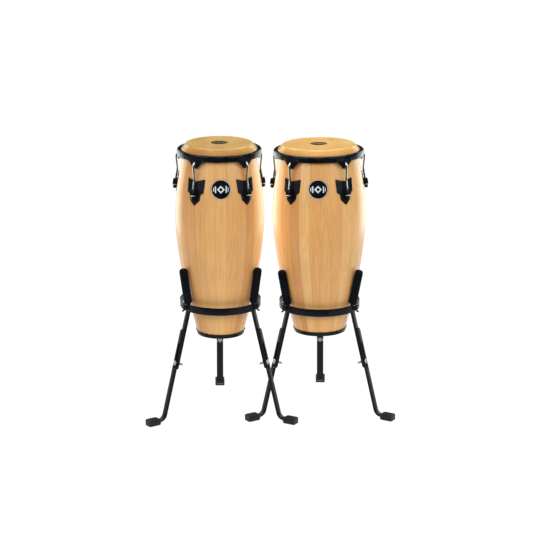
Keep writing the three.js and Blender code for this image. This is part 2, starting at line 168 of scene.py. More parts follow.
class Drum:
    """One drum and its stand: where the frame has them, and the radii that the shell's curve needs.

    It is made from millimetres and degrees, and holds metres and degrees."""

    def __init__(self, name, base, stretch, foot, belly, top, turn, lean_back, lean_left, clamp_z, legs,
                 hide_tone):
        ring_low, ring_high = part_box(f"{name}_basket_ring")
        self.name = name
        self.foot = foot * MM
        self.top = top * MM
        self.belly = belly * MM
        self.base = base * MM
        self.stretch = stretch
        self.turn = turn
        self.lean_back = lean_back
        self.lean_left = lean_left
        self.clamp_z = clamp_z * MM
        self.legs = dict(zip(LEG_NAMES, legs))
        self.hide_tone = hide_tone
        self.axis = Vector(((ring_low.x + ring_high.x) / 2, (ring_low.y + ring_high.y) / 2, 0))
        self.ring_z = (ring_low.z + ring_high.z) / 2
        self.ring_r = (ring_high.x - ring_low.x) / 2
        self.body = f"{name}_drum"

    def radius(self, h):
        """The shell's outside radius: one cubic from foot to belly, one from belly to neck."""
        low = h < BELLY_H
        span = BELLY_H if low else NECK_H - BELLY_H
        t = h / span if low else (h - BELLY_H) / span
        rise = 3 * t**2 - 2 * t**3
        if low:
            return self.foot * (1 - rise) + self.belly * rise + (t - 2 * t**2 + t**3) * span * FOOT_SLOPE
        return self.belly * (1 - rise) + self.top * rise + (t**3 - t**2) * span * NECK_SLOPE

    def rod_out(self, h):
        """How far out the straight part of a tuning rod stands at a height."""
        return self.top + ROD_FOOT_OUT - (h - ROD_FOOT_H) * ROD_LEAN

    def place(self):
        """The drum's own frame, from its lower end: turned, leaning in its sleeves, drawn to its height."""
        matrix = Matrix.Translation(self.axis + Vector((0, 0, self.base + LEAN_H)))
        for degrees, axis in ((-self.lean_back, "X"), (-self.lean_left, "Y"), (self.turn, "Z")):
            matrix = matrix @ Matrix.Rotation(math.radians(degrees), 4, axis)
        return matrix @ Matrix.Translation((0, 0, -LEAN_H)) @ Matrix.Diagonal((1, 1, self.stretch, 1))

    def spoke(self, angle):
        """A frame in the drum with +X outward at an angle from its front."""
        return self.place() @ Matrix.Rotation(math.radians(angle - 90), 4, "Z")

    def leg_spoke(self, angle):
        """A frame on the floor with +X outward at an angle from the players' side."""
        return Matrix.Translation(self.axis) @ Matrix.Rotation(math.radians(angle - 90), 4, "Z")


DRUMS = (
    Drum("quinto", base=305.2, stretch=1.008, foot=84.8, belly=163.7, top=127.0, turn=3.4, lean_back=-0.4,
         lean_left=0.0, clamp_z=219, legs=(-54.5, 59.5, 182.5), hide_tone=0.61),
    Drum("conga", base=303.8, stretch=0.989, foot=94.0, belly=171.5, top=138.8, turn=-2.2, lean_back=0.8,
         lean_left=0.72, clamp_z=209, legs=(-57, 58, 177.6), hide_tone=0.67),
)

# ---- mesh helpers ----


def add_object(name, data, matrix=Matrix.Identity(4)):
    made = bpy.data.objects.new(name, data)
    bpy.context.scene.collection.objects.link(made)
    made.matrix_world = matrix
    return made


def add_mesh(name, verts, faces, matrix=Matrix.Identity(4), sharp=35):
    mesh = bpy.data.meshes.new(name)
    mesh.from_pydata([tuple(v) for v in verts], [], faces)
    mesh.validate()
    tidy = bmesh.new()
    tidy.from_mesh(mesh)
    bmesh.ops.remove_doubles(tidy, verts=tidy.verts, dist=1e-6)
    bmesh.ops.recalc_face_normals(tidy, faces=tidy.faces)
    tidy.to_mesh(mesh)
    tidy.free()
    mesh.shade_smooth()
    mesh.set_sharp_from_angle(angle=math.radians(sharp))
    return add_object(name, mesh, matrix)


def band(a, b, size, count):
    """The first quads, count of them, between two rings of one size that start at vertices a and b."""
    return [(a + j, a + (j + 1) % size, b + (j + 1) % size, b + j) for j in range(count)]


def loft(name, rings, matrix=Matrix.Identity(4), sharp=35):
    """Skins a list of equal rings of points, with flat ends."""
    size = len(rings[0])
    verts = [point for ring in rings for point in ring]
    faces = []
    for i in range(len(rings) - 1):
        faces += band(i * size, (i + 1) * size, size, size)
    faces.append(tuple(range(size)))
    faces.append(tuple(range(len(verts) - size, len(verts))))
    return add_mesh(name, verts, faces, matrix, sharp)


def lathe(name, profile, matrix=Matrix.Identity(4), sides=ROUND, sharp=35):
    """Turns [radius, height] points that close on themselves, or start and end on the axis, about +Z."""
    size = len(profile)
    on_axis = profile[0][0] < 1e-7
    verts, faces = [], []
    for i in range(sides):
        angle = 2 * math.pi * i / sides
        verts += [Vector((r * math.cos(angle), r * math.sin(angle), h)) for r, h in profile]
        faces += band(i * size, (i + 1) % sides * size, size, size - on_axis)
    return add_mesh(name, verts, faces, matrix, sharp)


def arc(x, y, radius, start, end, count):
    """Points of an arc, angles in degrees."""
    return [
        (x + radius * math.cos(math.radians(start + (end - start) * i / count)),
         y + radius * math.sin(math.radians(start + (end - start) * i / count)))
        for i in range(count + 1)
    ]


def smooth(points, count):
    """Catmull-Rom points through the given ones, count to a span."""
    ends = [2 * points[0] - points[1], *points, 2 * points[-1] - points[-2]]
    result = []
    for i in range(1, len(ends) - 2):
        p0, p1, p2, p3 = ends[i - 1 : i + 3]
        for step in range(count):
            t = step / count
            result.append(
                0.5 * (2 * p1 + (p2 - p0) * t + (2 * p0 - 5 * p1 + 4 * p2 - p3) * t**2
                       + (3 * p1 - p0 - 3 * p2 + p3) * t**3))
    return [*result, points[-1]]


def rounded(outline, radius, count=4):
    """An outline of 2D points with every corner rounded, less where its sides are short."""
    result = []
    for i, corner in enumerate(outline):
        corner = Vector(corner)
        before = Vector(outline[i - 1]) - corner
        after = Vector(outline[(i + 1) % len(outline)]) - corner
        cut = min(radius, before.length * 0.45, after.length * 0.45)
        start, end = corner + before.normalized() * cut, corner + after.normalized() * cut
        for step in range(count + 1):
            t = step / count
            result.append(tuple(start * (1 - t) ** 2 + corner * 2 * t * (1 - t) + end * t**2))
    return result


def section(width, thickness, corner, count=3):
    """A rounded rectangle, width across the first axis."""
    x, y = width / 2 - corner, thickness / 2 - corner
    points = []
    for cx, cy, start in ((x, y, 0), (-x, y, 90), (-x, -y, 180), (x, -y, 270)):
        points += arc(cx, cy, corner, start, start + 90, count)
    return points


def along(points, sections):
    """Rings for loft: each section (across, thickness) stands square to a path in the spoke's XZ plane."""
    rings = []
    for i, point in enumerate(points):
        step = (points[min(i + 1, len(points) - 1)] - points[max(i - 1, 0)]).normalized()
        side = Vector((step.z, 0, -step.x))
        rings.append([point + Vector((0, across, 0)) + side * thick for across, thick in sections[i]])
    return rings


def circle(radius, count):
    return arc(0, 0, radius, 0, 360 * (count - 1) / count, count - 1)


def tube(name, points, radii, matrix, count=FINE):
    """A round bar along a path, with a radius for each of its points."""
    return loft(name, along(points, [circle(r, count) for r in radii]), matrix, sharp=50)


def slab_ring(outline, middle, across, scale):
    """One slice of a slab that lies in the spoke's XZ plane, its outline scaled about its middle."""
    middle = Vector(middle)
    flat = [middle + (Vector(p) - middle) * scale for p in outline]
    return [Vector((p.x, across, p.y)) for p in flat]


def modify(piece, kind, **values):
    modifier = piece.modifiers.new(kind.title(), kind)
    for key, value in values.items():
        setattr(modifier, key, value)


def settle(piece):
    """Turns the piece's modifiers into plain mesh."""
    mesh = bpy.data.meshes.new_from_object(piece.evaluated_get(bpy.context.evaluated_depsgraph_get()))
    piece.modifiers.clear()
    piece.data = mesh


def combine(piece, others, operation):
    """Joins other pieces into this one, or cuts them from it, and removes them."""
    for other in others:
        modify(piece, "BOOLEAN", object=other, operation=operation, solver="EXACT")
        bpy.context.view_layer.update()
        settle(piece)
        bpy.data.objects.remove(other)


def shade_cut(piece):
    """Smooth shading, with sharp edges where the cuts are."""
    piece.data.shade_smooth()
    piece.data.set_sharp_from_angle(angle=math.radians(CUT_SHARP))


def merged(name, pieces):
    """Puts small pieces of one finish into one piece, in the first one's frame."""
    first = pieces[0]
    whole = bmesh.new()
    for piece in pieces:
        mesh = piece.data.copy()
        mesh.transform(first.matrix_world.inverted() @ piece.matrix_world)
        whole.from_mesh(mesh)
    whole.to_mesh(first.data)
    whole.free()
    for piece in pieces[1:]:
        bpy.data.objects.remove(piece)
    first.name = name
    return first


def place(piece, body, slot, look, *nodes):
    """Gives a piece its body and its finish, and hides the CAD nodes that it stands for."""
    piece.data.materials.clear()
    for material in look if isinstance(look, tuple) else (look,):
        piece.data.materials.append(material)
    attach(piece, body)
    if nodes:
        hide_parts(*nodes)


def shell_sheet(name, drum, angle, outline, out, thickness, holes=(), low=None):
    """A sheet bent round the shell: an outline of (across, height) points, with holes, given a thickness.

    Its inside stands at a distance out from the shell, or from a cylinder of radius low."""
    sheet = bmesh.new()
    for loop in (outline, *holes):
        verts = [sheet.verts.new((across, height, 0)) for across, height in loop]
        for before, vert in zip([verts[-1], *verts], verts):
            sheet.edges.new((before, vert))
    bmesh.ops.triangle_fill(sheet, use_beauty=True, edges=sheet.edges[:])
    spans = [[f(p[k] for p in outline) for f in (min, max)] for k in (0, 1)]
    for k, step in ((0, 5 * MM), (1, 12 * MM)):
        start, end = spans[k]
        for i in range(1, int((end - start) / step) + 1):
            at, across = [0, 0, 0], [0, 0, 0]
            at[k], across[k] = start + i * step, 1
            everything = sheet.verts[:] + sheet.edges[:] + sheet.faces[:]
            bmesh.ops.bisect_plane(sheet, geom=everything, plane_co=at, plane_no=across, dist=1e-7)
    for vert in sheet.verts:
        across, height = vert.co.x, vert.co.y
        radius = (low if low else drum.radius(height)) + out
        vert.co = Vector((math.sqrt(radius**2 - across**2), across, height))
    bmesh.ops.recalc_face_normals(sheet, faces=sheet.faces)
    if sum(face.normal.x * face.calc_area() for face in sheet.faces) <= 0:
        bmesh.ops.reverse_faces(sheet, faces=sheet.faces)
    mesh = bpy.data.meshes.new(name)
    sheet.to_mesh(mesh)
    sheet.free()
    mesh.shade_smooth()
    piece = add_object(name, mesh, drum.spoke(angle))
    modify(piece, "SOLIDIFY", thickness=thickness, offset=1)
    modify(piece, "BEVEL", width=min(thickness * 0.3, 0.8 * MM), segments=2, limit_method="ANGLE",
           angle_limit=math.radians(50), harden_normals=True)
    settle(piece)
    return piece


# ---- materials ----


class Look:
    """A Principled material with small helpers for its nodes."""

    def __init__(self, name, **inputs):
        self.material = bpy.data.materials.new(name)
        self.material.use_nodes = True
        self.tree = self.material.node_tree
        self.surface = self.tree.nodes["Principled BSDF"]
        self.preset(**inputs)

    def preset(self, **values):
        """Plain values for the surface's inputs."""
        for key, value in values.items():
            self.surface.inputs[key.replace("_", " ")].default_value = value

    def set(self, **sockets):
        """Links from other nodes to the surface's inputs."""
        for key, value in sockets.items():
            self.tree.links.new(value, self.surface.inputs[key.replace("_", " ")])

    def node(self, kind, *inputs, **settings):
        made = self.tree.nodes.new(f"ShaderNode{kind}")
        for key, value in settings.items():
            setattr(made, key, value)
        for i, value in enumerate(inputs):
            if value is None:
                continue
            if isinstance(value, bpy.types.NodeSocket):
                self.tree.links.new(value, made.inputs[i])
            else:
                made.inputs[i].default_value = value
        return made

    def math(self, operation, *inputs):
        return self.node("Math", *inputs, operation=operation).outputs[0]

    def noise(self, vector, scale, detail=3.0, roughness=0.5, distortion=0.0):
        made = self.node("TexNoise", vector)
        values = {"Scale": scale, "Detail": detail, "Roughness": roughness, "Distortion": distortion}
        for key, value in values.items():
            made.inputs[key].default_value = value
        return made.outputs["Fac"]

    def ramp(self, factor, *stops):
        made = self.node("ValToRGB", factor)
        while len(made.color_ramp.elements) < len(stops):
            made.color_ramp.elements.new(0.5)
        for element, (position, color) in zip(made.color_ramp.elements, stops):
            element.position = position
            element.color = (*color, 1) if isinstance(color, tuple) else (color, color, color, 1)
        return made.outputs[0]

    def mix(self, factor, a, b, blend="MIX"):
        made = self.tree.nodes.new("ShaderNodeMix")
        made.data_type = "RGBA"
        made.blend_type = blend
        for i, value in ((0, factor), (6, a), (7, b)):
            if isinstance(value, bpy.types.NodeSocket):
                self.tree.links.new(value, made.inputs[i])
            elif isinstance(value, tuple):
                made.inputs[i].default_value = (*value, 1)
            else:
                made.inputs[i].default_value = value
        return made.outputs[2]

    def bump(self, height, strength, distance):
        made = self.node("Bump")
        made.inputs["Strength"].default_value = strength
        made.inputs["Distance"].default_value = distance
        self.tree.links.new(height, made.inputs["Height"])
        self.set(Normal=made.outputs[0])

    def place(self):
        """The point in the piece's own frame, and its x, y and z."""
        point = self.node("TexCoord").outputs["Object"]
        return point, *self.node("SeparateXYZ", point).outputs

    def stretched(self, x, y, z):
        return self.node("CombineXYZ", x, y, z).outputs[0]


def wood_look(name, seed, lacquer):
    """Stave wood: each stave has its own tone and grain, with fine fibres, pores and dark glue lines."""
    look = Look(name, Roughness=0.5 if lacquer else 0.75, Specular_IOR_Level=0.15)
    point, x, y, z = look.place()
    turn = look.math("MULTIPLY", look.math("ARCTAN2", y, x), STAVES / (2 * math.pi))
    turn = look.math("ADD", turn, 100.0 + seed)
    stave = look.math("FLOOR", turn)
    across = look.math("SUBTRACT", turn, stave)
    own = look.node("TexWhiteNoise", None, look.math("ADD", stave, seed * 3.7), noise_dimensions="1D")
    tone = look.ramp(own.outputs["Value"], (0.0, (0.62, 0.285, 0.088)), (0.3, (0.76, 0.42, 0.150)),
                     (0.55, (0.70, 0.355, 0.116)), (0.75, (0.82, 0.49, 0.190)), (1.0, (0.73, 0.38, 0.126)))
    shift = look.math("MULTIPLY", stave, 3.17)
    grain = look.stretched(look.math("ADD", look.math("MULTIPLY", across, 0.9), shift), shift,
                           look.math("MULTIPLY", z, 1.6))
    cathedral = look.noise(grain, 1.6, 2.0, 0.45, 0.5)
    rings = look.math("SINE", look.math("MULTIPLY", cathedral, 46.0))
    rings = look.ramp(look.math("MULTIPLY_ADD", rings, 0.5, 0.5), (0.0, 0.93), (0.45, 1.0), (1.0, 1.03))
    fibres = look.stretched(look.math("MULTIPLY", turn, 26.0), shift, look.math("MULTIPLY", z, 7.0))
    fibre = look.noise(fibres, 1.0, 5.0, 0.7)
    streaks = look.ramp(fibre, (0.3, 0.86), (0.5, 1.0), (0.72, 1.09))
    pores = look.stretched(look.math("MULTIPLY", turn, 130.0), shift, look.math("MULTIPLY", z, 60.0))
    pores = look.ramp(look.noise(pores, 1.0, 1.0, 0.4), (0.28, 0.72), (0.36, 1.0))
    color = look.mix(1.0, tone, rings, "MULTIPLY")
    color = look.mix(1.0, color, streaks, "MULTIPLY")
    color = look.mix(0.55, color, pores, "MULTIPLY")
    seam = look.math("ABSOLUTE", look.math("SUBTRACT", across, 0.5))
    seam = look.ramp(seam, (0.488, 1.0), (0.496, 0.7))
    color = look.mix(0.8, color, seam, "MULTIPLY")
    broad = look.ramp(look.noise(point, 5.0, 2.0), (0.3, 0.93), (0.7, 1.05))
    color = look.mix(1.0, color, broad, "MULTIPLY")
    look.set(Base_Color=color)
    look.bump(fibre, 0.25, 0.0002 if lacquer else 0.0006)
    if lacquer:
        look.preset(Coat_Weight=0.55, Coat_Roughness=0.22, Coat_IOR=1.5)
    return look.material


def hide_look(name, seed, tone):
    """Natural hide: cream and tan mottling, faint veins and pores, and a generic round print in the middle."""
    look = Look(name, Specular_IOR_Level=0.12, Subsurface_Weight=0.12,
                Subsurface_Radius=(0.006, 0.003, 0.0015), Coat_Roughness=0.16, Coat_IOR=1.5)
    point, x, y, z = look.place()
    moved = look.node("VectorMath", point, (seed, seed * 0.7, 0.0), operation="ADD").outputs[0]
    shades = ((0.25, (0.76, 0.41, 0.122)), (0.5, (0.90, 0.54, 0.175)), (0.75, (1.0, 0.67, 0.255)))
    mottle = look.ramp(look.noise(moved, 9.0, 5.0, 0.6, 0.4),
                       *((at, tuple(value * tone for value in shade)) for at, shade in shades))
    veins = look.noise(look.stretched(x, look.math("MULTIPLY", y, 2.4), z), 14.0, 6.0, 0.65, 1.2)
    veins = look.ramp(veins, (0.42, 1.0), (0.47, 0.93), (0.52, 1.0))
    color = look.mix(0.8, mottle, veins, "MULTIPLY")
    pores = look.noise(moved, 700.0, 2.0)
    color = look.mix(0.35, color, look.ramp(pores, (0.3, 0.8), (0.5, 1.0)), "MULTIPLY")
    fold = 16 * MM
    fall = look.ramp(look.math("DIVIDE", look.math("SUBTRACT", z, HEAD_TOP_H - fold), fold),
                     (0.0, (0.86, 0.66, 0.44)), (0.8, (1.0, 0.97, 0.92)), (1.0, (1.0, 1.0, 1.0)))
    color = look.mix(1.0, color, fall, "MULTIPLY")
    ink = head_ink(look, x, y, z)
    color = look.mix(ink, color, (0.012, 0.012, 0.014))
    look.set(Base_Color=color, Roughness=look.math("MULTIPLY_ADD", pores, 0.15, 0.22),
             Coat_Weight=look.math("MULTIPLY_ADD", ink, -0.25, 0.28))
    look.bump(pores, 0.2, 0.0002)
    return look.material


def head_ink(look, x, y, z):
    """1 where the head's print is black: a disc with an open ring, a lozenge and two bars left clear."""
    reach = look.math("SQRT", look.math("ADD", look.math("MULTIPLY", x, x), look.math("MULTIPLY", y, y)))
    disc = look.math("LESS_THAN", reach, PRINT_R)
    ring = look.math("COMPARE", reach, PRINT_R - 3.2 * MM, 0.7 * MM)
    across, up = look.math("ABSOLUTE", x), look.math("ABSOLUTE", y)
    lozenge = look.math("COMPARE", look.math("ADD", across, up), 9.5 * MM, 1.9 * MM)
    bars = look.math("MULTIPLY", look.math("COMPARE", across, 17.0 * MM, 1.5 * MM),
                     look.math("LESS_THAN", up, 8 * MM))
    clear = look.math("MAXIMUM", ring, look.math("MAXIMUM", lozenge, bars))
    on_top = look.math("GREATER_THAN", z, HEAD_TOP_H - 1 * MM)
    inked = look.math("MULTIPLY", disc, look.math("SUBTRACT", 1.0, clear))
    return look.math("MULTIPLY", inked, on_top)


def speckled(name, color, roughness, specular, speckle, depth, strength):
    """A plain finish with a fine cast or powder-coated texture and slight wear in its gloss."""
    look = Look(name, Specular_IOR_Level=specular)
    point = look.place()[0]
    fine = look.noise(point, speckle, 2.0, 0.6)
    broad = look.noise(point, 18.0, 3.0, 0.6)
    bright = tuple(min(1.0, c * 1.7 + 0.004) for c in color)
    look.set(Base_Color=look.mix(look.ramp(broad, (0.35, 0.0), (0.75, 1.0)), color, bright))
    look.set(Roughness=look.math("MULTIPLY_ADD", broad, 0.16, roughness - 0.08))
    look.bump(fine, strength, depth)
    return look.material


def metal_look(name, color, roughness):
    """Plated steel with faint polishing marks and slightly uneven gloss."""
    look = Look(name, Metallic=1.0)
    point, x, y, z = look.place()
    marks = look.noise(look.stretched(x, y, look.math("MULTIPLY", z, 12.0)), 160.0, 3.0, 0.6)
    broad = look.noise(point, 40.0, 2.0)
    dull = tuple(c * 0.86 for c in color)
    look.set(Base_Color=look.mix(look.ramp(broad, (0.35, 0.0), (0.7, 1.0)), color, dull))
    look.set(Roughness=look.math("MULTIPLY_ADD", marks, 0.1, roughness))
    look.bump(marks, 0.1, 0.00005)
    return look.material


BLACK_STEEL = speckled("powder_coated_steel", (0.003, 0.004, 0.006), roughness=0.27, specular=0.12,
                       speckle=900.0, depth=0.00015, strength=0.35)
RIM_STEEL = speckled("rim_steel", (0.002, 0.003, 0.004), roughness=0.2, specular=0.15,
                     speckle=500.0, depth=0.00008, strength=0.2)
FOAM = speckled("sleeve_foam", (0.001, 0.002, 0.004), roughness=0.6, specular=0.05,
                speckle=1400.0, depth=0.0004, strength=0.5)
BOOT_RUBBER = speckled("boot_rubber", (0.006, 0.007, 0.010), roughness=0.5, specular=0.2,
                       speckle=600.0, depth=0.0003, strength=0.4)
BADGE_BLACK = speckled("badge_lacquer", (0.002, 0.002, 0.003), roughness=0.2, specular=0.12,
                       speckle=300.0, depth=0.00004, strength=0.1)
BADGE_SILVER = speckled("badge_silver", (0.46, 0.48, 0.50), roughness=0.4, specular=0.3,
                        speckle=300.0, depth=0.00004, strength=0.1)
CHROME = metal_look("chrome", (0.5, 0.5, 0.51), roughness=0.12)
BRIGHT = metal_look("bright_nickel", (0.82, 0.83, 0.85), roughness=0.34)
ZINC = metal_look("bright_zinc", (0.46, 0.465, 0.48), roughness=0.24)

# ---- the drum ----


def add_shell(drum, seed):
    """The stave shell. Its inside and its lower edge are bare wood."""
    heights = [SHELL_LOW_H + (NECK_H - SHELL_LOW_H) * i / 48 for i in range(49)]
    outside = [(drum.radius(h), h) for h in heights]
    edge = [(drum.top + out * MM, h * MM) for out, h in
            ((-1.1, 703.6), (-6.2, 710), (-8.2, 712.2), (-10, 713.3), (-11, 713.3))]
    inside = [(drum.radius(h) - SHELL_WALL, h) for h in reversed(heights[::2])]
    profile = [*outside, *edge, *inside]
    shell = lathe(f"{drum.name}_shell_fine", profile, drum.place(), sharp=40)
    looks = (wood_look(f"{drum.name}_lacquered_staves", seed, True),
             wood_look(f"{drum.name}_bare_staves", seed, False))
    place(shell, drum.body, "wood", looks, f"{drum.name}_shell")
    for face in shell.data.polygons:
        spread = Vector((face.center.x, face.center.y)).length
        if spread < drum.radius(min(face.center.z, NECK_H)) - 2 * MM:
            face.material_index = 1


def add_bottom_ring(drum):
    """A steel band round the foot, turned in under the shell's edge."""
    high, lip = 15.8 * MM, 1.5 * MM
    out, thin = 0.4 * MM, 2.5 * MM
    round_low, round_high = 1.2 * MM, 0.9 * MM
    lip_in, foot = drum.foot - 5.5 * MM, drum.foot + out + thin
    top_in = drum.radius(high) + out
    profile = [
        (lip_in, 0.0), *arc(foot - round_low, round_low, round_low, -90, -10, 4),
        *arc(top_in + thin - round_high, high - round_high, round_high, 0, 90, 4), (top_in, high),
        (drum.radius(lip) + out, lip), (lip_in, lip),
    ]
    ring = lathe(f"{drum.name}_bottom_ring_fine", profile, drum.place())
    place(ring, drum.body, "black_steel", RIM_STEEL, f"{drum.name}_bottom_ring")


def add_head(drum, seed):
    """The hide: flat on top, folded over the bearing edge, and drawn out and down to the hoop in the rim."""
    over = [(-12, 0), (-8.4, -0.3), (-5.4, -1.6), (-2.9, -4), (3.0, -10.4), (9, -16.6), (11.5, -20),
            (12.6, -24), (12.9, -31.5)]
    under = [(10, -33), (10, -28.2), (9.7, -24.2), (9, -21.2), (7, -18.5), (-5, -6.2), (-7.2, -4.2),
             (-12, -3)]
    over, under = ([Vector((drum.top + out * MM, HEAD_TOP_H + down * MM)) for out, down in line]
                   for line in (over, under))
    flat = [(over[0].x * i / 14, HEAD_TOP_H) for i in range(14)]
    hoop = arc(drum.top + HOOP_OUT, HOOP_H, HOOP_R, 120, -180, 12)
    profile = [*flat, *smooth(over, 6), *hoop, *under, (0.0, HEAD_TOP_H - 3 * MM)]
    head = lathe(f"{drum.name}_head_fine", profile, drum.place(), sharp=60)
    for vert in head.data.vertices:
        x, y, z = vert.co
        if z > HEAD_TOP_H - 32 * MM:
            reach = Vector((x, y)).length / drum.top
            wave = noise.noise(Vector((x * 22 + seed, y * 22, 0)))
            vert.co.z += 0.35 * MM * wave * min(reach, 1) - 0.4 * MM
    look = hide_look(f"{drum.name}_hide", seed, drum.hide_tone)
    place(head, drum.body, "skin", look, f"{drum.name}_head")


def add_rim(drum):
    """A rolled channel with five ears, each bored for its hook."""
    inner, outer = drum.top + RIM_IN, drum.top + RIM_OUT
    roll, middle = (outer - inner) / 2, (outer + inner) / 2
    crown, skirt = RIM_TOP_H - roll, RIM_LOW_H + 0.8 * MM
    profile = [
        (inner, RIM_LIP_H), *arc(middle, crown, roll, 180, 0, 24), (outer, skirt),
        *arc(outer - RIM_T / 2, skirt, RIM_T / 2, 0, -180, 6)[1:-1], (outer - RIM_T, skirt),
        *arc(middle, crown, roll - RIM_T, 0, 180, 16), (inner + RIM_T, RIM_LIP_H),
    ]
    rim = lathe(f"{drum.name}_rim_fine", profile, drum.place())
    outline = rounded([(-EAR_HALF_TIP, EAR_TIP_H), (EAR_HALF_TIP, EAR_TIP_H), (EAR_HALF_TOP, RIM_LOW_H),
                       (EAR_HALF_TOP, EAR_ROOT_H), (-EAR_HALF_TOP, EAR_ROOT_H), (-EAR_HALF_TOP, RIM_LOW_H)],
                      2.5 * MM)
    hole = [(x, y + HOOK_H) for x, y in circle(HOLE_R, 20)]
    ears = [shell_sheet("ear", drum, angle, outline, -RIM_T, RIM_T, (hole,), low=outer)
            for angle in TUNING_ANGLES]
    combine(rim, ears, "UNION")
    shade_cut(rim)
    place(rim, drum.body, "black_steel", RIM_STEEL, f"{drum.name}_rim")


def add_hook(drum, angle, number):
    """A tuning hook: in through the ear, down in a shallow S, then straight, with a thread at its foot."""
    bend = [(20.5, 670), (25, 670), (29.5, 670), (34.2, 667.9), (36.9, 661.5), (37.5, 652), (36.4, 638),
            (34.8, 624)]
    points = [Vector((drum.top + out * MM, 0, h * MM)) for out, h in bend]
    points += [Vector((drum.rod_out(h), 0, h)) for h in (610 * MM, 588 * MM, THREAD_TOP_H)]
    path = smooth(points, 6)
    radii = [HOOK_R] * len(path)
    turns = int((THREAD_TOP_H - ROD_FOOT_H) / THREAD_PITCH)
    for i in range(1, 2 * turns):
        h = THREAD_TOP_H - i * THREAD_PITCH / 2
        path.append(Vector((drum.rod_out(h), 0, h)))
        radii.append(HOOK_R - THREAD_DEPTH * (i % 2))
    radii[-1] -= 0.6 * MM
    radii[0] -= 1.2 * MM
    path.insert(1, path[0] + (path[1] - path[0]) * 0.3)
    radii.insert(1, HOOK_R)
    hook = tube(f"{drum.name}_tuning_hook_{number}_fine", path, radii, drum.spoke(angle))
    place(hook, drum.body, "chrome", CHROME, f"{drum.name}_tuning_hook_{number}")


def add_side_plate(drum, angle, number):
    """A shield on the shell with a bored receiver block, and three screws that hold it."""
    name = f"{drum.name}_side_plate_{number}"
    half = [(0, 601), (35, 610.7), (33.5, 562), (22, 554.5), (20.5, 535.5), (0, 514.4)]
    outline = [(x * MM, h * MM) for x, h in half] + [(-x * MM, h * MM) for x, h in half[-2:0:-1]]
    plate = shell_sheet(f"{name}_fine", drum, angle, rounded(outline, 2 * MM), SKIN_GAP, PLATE_T)
    rod = drum.rod_out(RECEIVER_H)
    foot = drum.radius(RECEIVER_H) + SKIN_GAP + 1.5 * MM
    lean = ROD_LEAN * RECEIVER_TALL / 2
    low, high = RECEIVER_H - RECEIVER_TALL / 2, RECEIVER_H + RECEIVER_TALL / 2
    front = rod + RECEIVER_FRONT
    side = rounded([(foot + 2 * lean, low), (front + lean, low), (front - lean, high), (foot - lean / 2, high)],
                   2.2 * MM)
    half_width = RECEIVER_WIDTH / 2
    slices = ((-half_width, 0.91), (-0.86 * half_width, 1), (0.86 * half_width, 1), (half_width, 0.91))
    rings = [slab_ring(side, (rod, RECEIVER_H), across, scale) for across, scale in slices]
    combine(plate, [loft("block", rings, plate.matrix_world)], "UNION")
    line = [Vector((drum.rod_out(h), 0, h)) for h in (540 * MM, 593 * MM)]
    combine(plate, [tube("bore", line, [HOLE_R] * 2, plate.matrix_world, 24)], "DIFFERENCE")
    shade_cut(plate)
    place(plate, drum.body, "black_steel", BLACK_STEEL, name)
    screws = [screw(drum, angle, across * MM, h * MM) for across, h in ((-23, 594), (23, 594), (0, 527))]
    place(merged(f"{name}_screws", screws), drum.body, "black_steel", BLACK_STEEL)


def screw(drum, angle, across, h):
    """A round-headed screw with a cross slot, standing square on a side plate."""
    profile = [(0, -1 * MM), (SCREW_R, -1 * MM), (SCREW_R, 0.3 * MM), *arc(0, -1.2 * MM, 3.7 * MM, 25, 78, 6),
               (0, 2.5 * MM)]
    head = lathe("screw", profile, sides=24)
    slot = section(4.4 * MM, 0.8 * MM, 0.1 * MM, 1)
    rings = [[Vector((x, y, z)) for x, y in slot] for z in (1.2 * MM, 4 * MM)]
    cuts = [loft("cut", rings, Matrix.Rotation(math.radians(turn), 4, "Z")) for turn in (20, 110)]
    combine(head, cuts, "DIFFERENCE")
    out = math.sqrt((drum.radius(h) + SKIN_GAP + PLATE_T) ** 2 - across**2)
    slope = (drum.radius(h + 5 * MM) - drum.radius(h - 5 * MM)) / (10 * MM)
    facing = Vector((1, across / out, -slope)).to_track_quat("Z", "Y").to_matrix().to_4x4()
    head.matrix_world = drum.spoke(angle) @ Matrix.Translation((out, across, h)) @ facing
    bpy.context.view_layer.update()
    return head


def rod_seat(drum, angle, h):
    """A frame on the tuning rod, +Z up along it."""
    return (drum.spoke(angle) @ Matrix.Translation((drum.rod_out(h), 0, h))
            @ Matrix.Rotation(-math.atan(ROD_LEAN), 4, "Y"))


def nut_ring(z, radius, hexed):
    """One ring of a nut, in millimetres: round where hexed is 0, a hexagon where it is 1."""
    ring = []
    for i in range(48):
        angle = 2 * math.pi * i / 48
        flat = math.cos(math.pi / 6) / math.cos(angle % (math.pi / 3) - math.pi / 6)
        r = radius * MM * (1 - hexed + hexed * flat)
        ring.append(Vector((r * math.cos(angle), r * math.sin(angle), z * MM)))
    return ring


